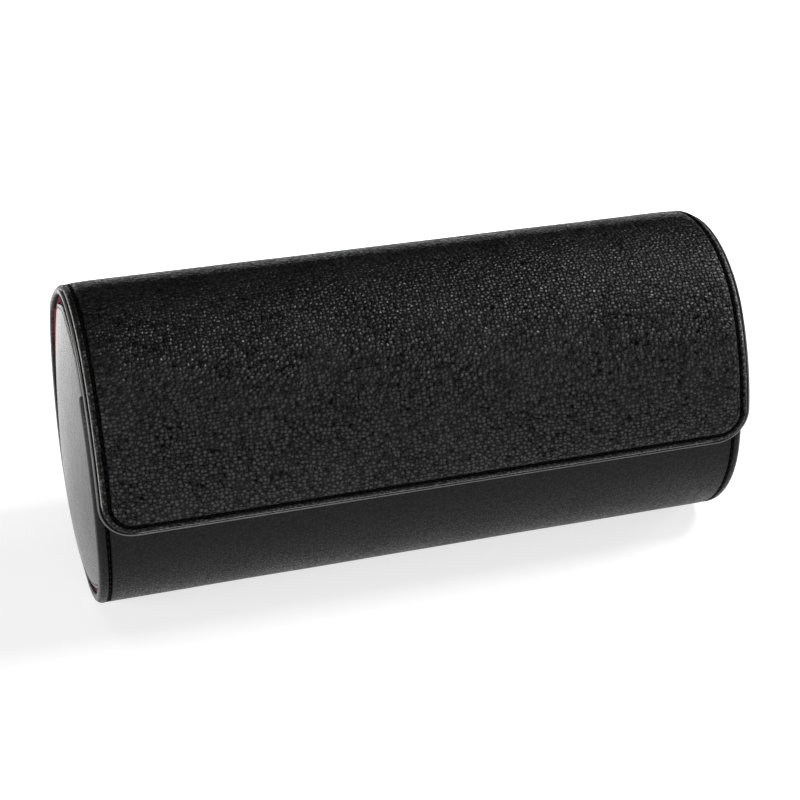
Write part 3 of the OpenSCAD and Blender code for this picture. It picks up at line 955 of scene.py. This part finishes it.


# Pebbled leather as height in mm: rounded cells with creases between them, less the square of the
# distance from each cell's middle, with a little of a finer set of cells and of fine noise. The second
# output is a mask of painted shade: dark in the creases, over each cell's sides and in finer creases.
def pebbleGroup():
    tree, given, out = newGroup("pebbleGrain", [("Vector", "Vector", None), ("Cell", "Float", 1.3),
                                                ("Relief", "Float", 0.12)],
                                [("Height", "Float"), ("CreaseShade", "Float")])
    bend = noise(tree, given["Vector"], 0.55, 2.0)
    push = put(tree, "ShaderNodeVectorMath", {0: bend["Color"], 1: (0.5, 0.5, 0.5)},
               operation="SUBTRACT")
    pushed = put(tree, "ShaderNodeVectorMath", {0: push.outputs[0], "Scale": 0.45}, operation="SCALE")
    moved = put(tree, "ShaderNodeVectorMath", {0: given["Vector"], 1: pushed.outputs[0]},
                operation="ADD")
    long = stretched(tree, moved.outputs[0], (0.86, 1.0, 1.0))
    scale = calc(tree, "DIVIDE", 1.0, given["Cell"])
    scatter = 0.63
    toCrease = cells(tree, long, scale, scatter, "DISTANCE_TO_EDGE")
    toMiddle = cells(tree, long, scale, scatter)
    toFine = cells(tree, long, calc(tree, "MULTIPLY", scale, 2.1), 1.0, "DISTANCE_TO_EDGE")
    where = remap(tree, noise(tree, given["Vector"], 0.9, 1.0)["Fac"], 0.42, 0.62)
    fineDome = calc(tree, "MULTIPLY", remap(tree, toFine, 0.0, 0.2),
                    calc(tree, "MULTIPLY_ADD", where, 0.14, 0.05))
    dome = calc(tree, "MULTIPLY_ADD", remap(tree, toCrease, 0.0, 0.48), 0.5, fineDome)
    dome = calc(tree, "MULTIPLY_ADD", calc(tree, "MULTIPLY", toMiddle, toMiddle), -1.5, dome)
    dome = calc(tree, "MULTIPLY_ADD", noise(tree, given["Vector"], 4.0, 2.0)["Fac"], 0.06, dome)
    tree.links.new(calc(tree, "MULTIPLY", dome, given["Relief"]), out["Height"])
    # Painted shade: full in the creases, and up to 0.66 over each cell's sides away from its middle.
    creaseShade = calc(tree, "MAXIMUM", remap(tree, toCrease, 0.0, 0.16, 1.0, 0.0),
                  remap(tree, toMiddle, 0.14, 0.62, 0.0, 0.66))
    # A little painted shade in the finer creases, in patches.
    fineCreaseShade = calc(tree, "MULTIPLY", remap(tree, toFine, 0.02, 0.16, 1.0, 0.0),
                      calc(tree, "MULTIPLY", where, 0.1))
    tree.links.new(calc(tree, "MAXIMUM", creaseShade, fineCreaseShade), out["CreaseShade"])
    return tree


# Smooth hide: fine pores and shallow creases that run mostly one way.
def hideGroup():
    tree, given, out = newGroup("fineGrain", [("Vector", "Vector", None), ("Relief", "Float", 0.03)],
                                [("Height", "Float"), ("Shade", "Float")])
    bend = noise(tree, given["Vector"], 0.35, 3.0)["Fac"]
    toCrease = cells(tree, stretched(tree, given["Vector"], (0.5, 1.0, 1.0)), 1.6, 1.0,
                     "DISTANCE_TO_EDGE")
    pores = noise(tree, given["Vector"], 3.2, 4.0)["Fac"]
    mixed = calc(tree, "MULTIPLY_ADD", remap(tree, toCrease, 0.0, 0.35), 0.45, pores)
    mixed = calc(tree, "MULTIPLY_ADD", bend, 0.6, mixed)
    tree.links.new(calc(tree, "MULTIPLY", mixed, given["Relief"]), out["Height"])
    tree.links.new(bend, out["Shade"])
    return tree


# Dust and handling marks: soft patches.
def dustGroup():
    tree, given, out = newGroup("handling", [("Vector", "Vector", None), ("Amount", "Float", 0.5)],
                                [("Patch", "Float")])
    soft = remap(tree, noise(tree, given["Vector"], 0.045, 3.0)["Fac"], 0.35, 0.68)
    tree.links.new(calc(tree, "MULTIPLY", soft, given["Amount"]), out["Patch"])
    return tree


# Suede nap: short fibres that lean in slow patches.
def napGroup():
    tree, given, out = newGroup("suedeNap", [("Vector", "Vector", None), ("Relief", "Float", 0.05)],
                                [("Height", "Float"), ("Lean", "Float"), ("Fibre", "Float")])
    lean = noise(tree, given["Vector"], 0.05, 4.0, 0.6)["Fac"]
    fibre = noise(tree, stretched(tree, given["Vector"], (6.0, 2.2, 6.0)), 1.0, 5.0)["Fac"]
    tree.links.new(calc(tree, "MULTIPLY", fibre, given["Relief"]), out["Height"])
    tree.links.new(remap(tree, lean, 0.3, 0.7, 0.62, 1.0), out["Lean"])
    tree.links.new(fibre, out["Fibre"])
    return tree


pebbles, fineHide, handling, suede = pebbleGroup(), hideGroup(), dustGroup(), napGroup()


# An empty material, its tree and its output's surface.
def emptyMaterial(name):
    material = bpy.data.materials.new(name)
    material.use_nodes = True
    tree = material.node_tree
    tree.nodes.clear()
    return material, tree, tree.nodes.new("ShaderNodeOutputMaterial").inputs[0]


# A material with its tree and its shader.
def newMaterial(name):
    material, tree, output = emptyMaterial(name)
    shader = put(tree, "ShaderNodeBsdfPrincipled")
    tree.links.new(shader.outputs[0], output)
    return material, tree, shader


# The flat sheet's own place, in mm.
def flatVector(tree):
    flatMap = put(tree, "ShaderNodeUVMap", uv_map="flat")
    return stretched(tree, flatMap.outputs[0], (1 / uvPerMm, 1 / uvPerMm, 1 / uvPerMm))


# The place in the object, in mm.
def objectVector(tree):
    coords = put(tree, "ShaderNodeTexCoord")
    return stretched(tree, coords.outputs["Object"], (1 / mm, 1 / mm, 1 / mm))


def attribute(tree, name):
    return put(tree, "ShaderNodeAttribute", attribute_name=name).outputs["Fac"]


def groupNode(tree, group, values):
    return put(tree, "ShaderNodeGroup", values, node_tree=group).outputs


# Colours of the leather. The colour for the creases is painted shade, the darkest colour is the painted
# shade of grooves and of the gap between plies, and the edge grey is a painted highlight.
leatherLook = {
    "top": (0.0035, 0.0035, 0.0037, 1), "creaseShade": (0.0012, 0.0012, 0.0013, 1),
    "coverDark": (0.004, 0.004, 0.0043, 1), "coverLight": (0.0085, 0.0085, 0.009, 1),
    "edge": (0.05, 0.05, 0.052, 1), "grooveAndGapShade": (0.0012, 0.0012, 0.0012, 1),
    "roughCrease": 0.55, "marks": 0.5, "marksRough": 0.1,
}


# How much of the shine is left where a crease, a groove or the gap between plies swallows the light.
def shineLeft(tree, gloss, parts):
    left = gloss
    for mask, taken in parts:
        left = calc(tree, "MULTIPLY", left, calc(tree, "MULTIPLY_ADD", mask, -taken, 1.0))
    return left


# A mask of the finished edge, where little grain is left, and the colour with it: the edge's real
# paint drawn in a lighter grey, which is a painted highlight, and the groove darkened, which is painted
# shade.
def edgeHighlightAndGrooveShade(tree, colour, share, groove):
    edgeFinishAndHighlight = remap(tree, share, 0.2, 0.55, 1.0, 0.0)
    # Lighter grey along the edge: a painted highlight over its edge paint.
    colour = blendColours(tree, edgeFinishAndHighlight, colour, leatherLook["edge"])
    # The groove darkened: painted shade.
    return edgeFinishAndHighlight, blendColours(tree, groove, colour, leatherLook["grooveAndGapShade"])


def pebbleMaterial(name, cell, relief, gloss, roughness, swallowed):
    material, tree, shader = newMaterial(name)
    vector = flatVector(tree)
    grain = groupNode(tree, pebbles, {"Vector": vector, "Cell": cell, "Relief": relief})
    marks = groupNode(tree, handling, {"Vector": vector, "Amount": leatherLook["marks"]})["Patch"]
    groove, ply, share = attribute(tree, "groove"), attribute(tree, "ply"), attribute(tree, "grain")
    # The creases and the cells' sides are darkened: painted shade.
    colour = blendColours(tree, grain["CreaseShade"], leatherLook["top"], leatherLook["creaseShade"])
    edgeFinishAndHighlight, colour = edgeHighlightAndGrooveShade(tree, colour, share, groove)
    # The gap between the flap's two plies is drawn near black: painted shade.
    colour = blendColours(tree, ply, colour, leatherLook["grooveAndGapShade"])
    rough = calc(tree, "MULTIPLY_ADD", grain["CreaseShade"], leatherLook["roughCrease"] - roughness, roughness)
    rough = calc(tree, "MULTIPLY_ADD", marks, leatherLook["marksRough"], rough)
    rough = calc(tree, "MULTIPLY_ADD", edgeFinishAndHighlight, -0.06, rough)
    rough = calc(tree, "MAXIMUM", rough, calc(tree, "MULTIPLY", groove, 0.8))
    worn = calc(tree, "MULTIPLY_ADD", marks, -0.25, 1.0)
    creaseShade = calc(tree, "MULTIPLY", calc(tree, "MULTIPLY", grain["CreaseShade"], share), worn)
    dark = [(creaseShade, swallowed), (groove, 0.97), (ply, 0.97), (edgeFinishAndHighlight, -1.5)]
    feed(tree, shader, {"Base Color": colour, "Roughness": rough,
                        "Specular IOR Level": shineLeft(tree, gloss, dark),
                        "Normal": bumped(tree, calc(tree, "MULTIPLY", grain["Height"], share))})
    return material


def coverMaterial(name, relief, billow, gloss, roughness):
    material, tree, shader = newMaterial(name)
    vector = flatVector(tree)
    grain = groupNode(tree, fineHide, {"Vector": vector, "Relief": relief})
    marks = groupNode(tree, handling, {"Vector": vector, "Amount": leatherLook["marks"]})["Patch"]
    groove, share = attribute(tree, "groove"), attribute(tree, "grain")
    colour = blendColours(tree, grain["Shade"], leatherLook["coverDark"], leatherLook["coverLight"])
    # The edge's paint is drawn lighter grey, a painted highlight, and the groove darkened: painted shade.
    colour = edgeHighlightAndGrooveShade(tree, colour, share, groove)[1]
    rough = calc(tree, "MULTIPLY_ADD", marks, leatherLook["marksRough"], roughness)
    rough = calc(tree, "MAXIMUM", rough, calc(tree, "MULTIPLY", groove, 0.75))
    billows = noise(tree, vector, 0.33, 2.0)["Fac"]
    height = calc(tree, "MULTIPLY_ADD", billows, billow, grain["Height"])
    feed(tree, shader, {"Base Color": colour, "Roughness": rough,
                        "Specular IOR Level": shineLeft(tree, gloss, [(groove, 0.93)]),
                        "Normal": bumped(tree, height)})
    return material


def suedeMaterial(name, vectorOf, light, dark):
    material, tree, shader = newMaterial(name)
    nap = groupNode(tree, suede, {"Vector": vectorOf(tree), "Relief": 0.07})
    colour = blendColours(tree, nap["Lean"], dark, light)
    colour = blendColours(tree, calc(tree, "MULTIPLY", nap["Fibre"], 0.35), colour, dark)
    feed(tree, shader, {"Base Color": colour, "Roughness": 0.92, "Sheen Weight": 0.35,
                        "Sheen Roughness": 0.4, "Normal": bumped(tree, nap["Height"])})
    return material


def threadMaterial(name, light, dark):
    material, tree, shader = newMaterial(name)
    turned = stretched(tree, flatVector(tree), (1, 1, 1), (0, 0, 0.9))
    twist = put(tree, "ShaderNodeTexWave", {"Vector": turned, "Scale": 1.1,
                                            "Distortion": 0.4}).outputs["Fac"]
    feed(tree, shader, {"Base Color": blendColours(tree, twist, dark, light),
                        "Roughness": remap(tree, twist, 0, 1, 0.7, 0.5), "Specular IOR Level": 0.06,
                        "Normal": bumped(tree, calc(tree, "MULTIPLY", twist, 0.06))})
    return material


def boardMaterial():
    material, tree, shader = newMaterial("greyBoard")
    vector = objectVector(tree)
    fibre, fleck = noise(tree, vector, 0.9, 6.0)["Fac"], noise(tree, vector, 2.6, 2.0)["Fac"]
    colour = blendColours(tree, fibre, (0.30, 0.275, 0.235, 1), (0.46, 0.43, 0.38, 1))
    colour = blendColours(tree, remap(tree, fleck, 0.62, 0.7), colour, (0.2, 0.18, 0.15, 1))
    feed(tree, shader, {"Base Color": colour, "Roughness": 0.9,
                        "Normal": bumped(tree, calc(tree, "MULTIPLY", fibre, 0.06))})
    return material


def foamMaterial():
    material, tree, shader = newMaterial("paddingFoam")
    shade = remap(tree, cells(tree, objectVector(tree), 1.5), 0.1, 0.6)
    colour = blendColours(tree, shade, (0.3, 0.3, 0.28, 1), (0.62, 0.62, 0.58, 1))
    feed(tree, shader, {"Base Color": colour, "Roughness": 0.95,
                        "Normal": bumped(tree, calc(tree, "MULTIPLY", shade, 0.15))})
    return material


def metalMaterial(name, light, dark, rough):
    material, tree, shader = newMaterial(name)
    long = stretched(tree, objectVector(tree), (0.15, 4.0, 4.0))
    brush = noise(tree, long, 1.0, 4.0)["Fac"]
    feed(tree, shader, {"Base Color": blendColours(tree, brush, dark, light), "Metallic": 1.0,
                        "Roughness": remap(tree, brush, 0.3, 0.7, rough, rough + 0.15)})
    return material


redLight, redDark = (0.50, 0.020, 0.055, 1), (0.30, 0.008, 0.030, 1)
looks = {
    "pebble": pebbleMaterial("pebbledLeather", cell=1.13, relief=0.24, gloss=0.6, roughness=0.29,
                             swallowed=1.0),
    "smooth": pebbleMaterial("softGrainLeather", cell=0.85, relief=0.05, gloss=0.24, roughness=0.24,
                             swallowed=0.32),
    "cover": coverMaterial("coverLeather", relief=0.1, billow=0.2, gloss=1.0, roughness=0.24),
    "lining": suedeMaterial("redSuede", flatVector, redLight, redDark),
    "padSuede": suedeMaterial("redSuedePad", objectVector, redLight, redDark),
    "thread": threadMaterial("blackThread", (0.005, 0.005, 0.005, 1), (0.001, 0.001, 0.001, 1)),
    "redThread": threadMaterial("redThread", (0.42, 0.02, 0.05, 1), (0.2, 0.006, 0.02, 1)),
    "board": boardMaterial(),
    "foam": foamMaterial(),
    "magnet": metalMaterial("nickelPlate", (0.78, 0.77, 0.74, 1), (0.6, 0.59, 0.57, 1), rough=0.15),
    "plate": metalMaterial("plainSteel", (0.58, 0.58, 0.59, 1), (0.42, 0.42, 0.43, 1), rough=0.35),
}


def wear(obj, look):
    obj.data.materials.clear()
    obj.data.materials.append(looks[look])


def dress(obj, look):
    wear(obj, look)


dress(wrap, "pebble")
dress(front, "smooth")
dress(bindingStrip, "smooth")
dress(wrapThread, "thread")
dress(flapLining, "lining")
dress(bodyLining, "lining")
dress(liningThread, "redThread")
for obj in (wrap, wrapThread, flapLining, liningThread):
    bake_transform(obj)
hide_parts("flap_leather", "hinge_leather", "shell_leather")
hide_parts("flap_lining", "hinge_lining")
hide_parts("shell_lining")
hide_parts("front_edge_binding")
for obj in [front, bindingStrip, bodyLining] + frontThreads:
    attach(obj, "case_body")
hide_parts("shell_leather")
for obj in frontThreads:
    dress(obj, "thread")
for obj, name in zip(covers, ("left", "right")):
    dress(obj, "cover")
    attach(obj, "case_body")
    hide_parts("end_cover_" + name, "end_pad_" + name)
for obj, name in zip(endLinings, ("left", "right")):
    dress(obj, "padSuede")
    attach(obj, "case_body")
    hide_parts("end_lining_" + name)
for obj, name in zip(dividers, ("left", "right")):
    dress(obj, "padSuede")
    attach(obj, "case_body")
    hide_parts("divider_cover_" + name)
for obj in basePads:
    dress(obj, "padSuede")
    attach(obj, "case_body")
    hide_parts("base_pad")
for obj, name in zip(cushions, ("left", "middle", "right")):
    dress(obj, "padSuede")
    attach(obj, "cushion_" + name)
    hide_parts("cushion_cover_" + name, "cushion_core_" + name)
for obj, name in pipings:
    dress(obj, "redThread")
    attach(obj, "cushion_" + name)

# A solid takes the look of the first word here that is in its name.
solidLooks = [("board", "board"), ("divider_core", "board"), ("foam", "foam"), ("pad", "foam"),
              ("core", "foam"), ("magnet", "magnet"), ("plate", "plate"), ("lining", "padSuede"),
              ("cushion", "padSuede"), ("divider", "padSuede"), ("", "smooth")]
for name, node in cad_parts.items():
    wear(node, next(look for word, look in solidLooks if word in name))
print("Pieces dressed")


studio = {
    "floorColour": 0.55, "worldLevel": 0.035,
    "floorHalf": 40,   # half the floor's width, in m
    "floorGlow": 0.7, "backGlow": 2.4, "glowFrom": 0.02, "glowTo": 0.45,   # along y, in m
    "aim": (0, 0, 0.05),
}


# A flat floor, as a grid of points at height nought.
def studioFloor():
    line = np.linspace(-studio["floorHalf"], studio["floorHalf"], 25)
    x, y = np.meshgrid(line, line)
    points = np.stack([x, y, np.zeros_like(x)], -1)
    return surface("studioFloor", [{"points": points, "flat": points[..., :2]}],
                   outside=((0, 0, 0), (0, 0, 1)))


# A matt floor with a glow, brighter to the back, that only the camera and the shiny faces see.
def floorMaterial():
    material, tree, output = emptyMaterial("paleFloor")
    shade = studio["floorColour"]
    matt = put(tree, "ShaderNodeBsdfDiffuse", {"Color": (shade, shade, shade, 1)})
    path = tree.nodes.new("ShaderNodeLightPath")
    seen = calc(tree, "MAXIMUM", path.outputs["Is Camera Ray"],
                calc(tree, "MAXIMUM", path.outputs["Is Glossy Ray"], path.outputs["Is Transmission Ray"]))
    spot = put(tree, "ShaderNodeTexCoord")
    parts = put(tree, "ShaderNodeSeparateXYZ", {0: spot.outputs["Object"]})
    level = remap(tree, parts.outputs["Y"], studio["glowFrom"], studio["glowTo"],
                  studio["floorGlow"], studio["backGlow"])
    glow = put(tree, "ShaderNodeEmission", {"Color": (1, 1, 1, 1),
                                            "Strength": calc(tree, "MULTIPLY", seen, level)})
    both = put(tree, "ShaderNodeAddShader", {0: matt.outputs[0], 1: glow.outputs[0]})
    tree.links.new(both.outputs[0], output)
    return material


floor = studioFloor()
floor.data.materials.append(floorMaterial())

world = bpy.data.worlds.new("studio")
bpy.context.scene.world = world
world.use_nodes = True
sky = world.node_tree
sky.nodes.clear()
skyGlow = put(sky, "ShaderNodeBackground", {"Color": (1, 1, 1, 1), "Strength": studio["worldLevel"]})
sky.links.new(skyGlow.outputs[0], sky.nodes.new("ShaderNodeOutputWorld").inputs[0])


# A lamp of the size and power, turned to the case's middle.
def softBox(name, where, size, power):
    lamp = bpy.data.lights.new(name, "AREA")
    lamp.shape = "RECTANGLE"
    lamp.size, lamp.size_y = size
    lamp.energy = power
    obj = newObject(name, lamp)
    obj.location = where
    toAim = Vector(studio["aim"]) - Vector(where)
    obj.rotation_euler = toAim.to_track_quat("-Z", "Y").to_euler()


softBox("topBox", (0.6, -0.08, 0.74), (0.3, 0.24), 5.6)
softBox("fillBox", (-0.5, 0.35, 1.1), (0.6, 0.6), 1.3)
softBox("frontBox", (-0.05, -0.62, 0.2), (0.2, 0.16), 0.8)
softBox("sideBox", (1.15, 0.2, 0.2), (0.3, 0.3), 6.5)
softBox("leftBox", (-0.75, -0.25, 0.2), (0.3, 0.3), 3.0)

# The camera's turn and height in radians, its way from the case and its shifts in mm, its focal
# length and width in pixels, and its sensor in mm.
view = {"azimuth": -0.3056, "elevation": 0.4763, "distance": 593.9, "right": 2.41, "up": 9.40,
        "focal": 1789.4, "width": 800, "sensor": 36}
sa, ca = math.sin(view["azimuth"]), math.cos(view["azimuth"])
se, ce = math.sin(view["elevation"]), math.cos(view["elevation"])
back = Vector((sa * ce, -ca * ce, se))
right = Vector((ca, sa, 0))
up = back.cross(right)
lens = bpy.data.cameras.new("camera")
lens.sensor_width = view["sensor"]
lens.lens = view["focal"] / view["width"] * view["sensor"]
lens.clip_start = 0.01
lens.clip_end = 20
camera = newObject("camera", lens)
spot = back * view["distance"] + right * view["right"] + up * view["up"]
spot += Vector((0, case["midY"], case["bellyHeight"]))
camera.location = spot * mm
camera.rotation_euler = back.to_track_quat("Z", "Y").to_euler()
bpy.context.scene.camera = camera
bpy.context.scene.view_settings.view_transform = "Standard"
print("Studio set")
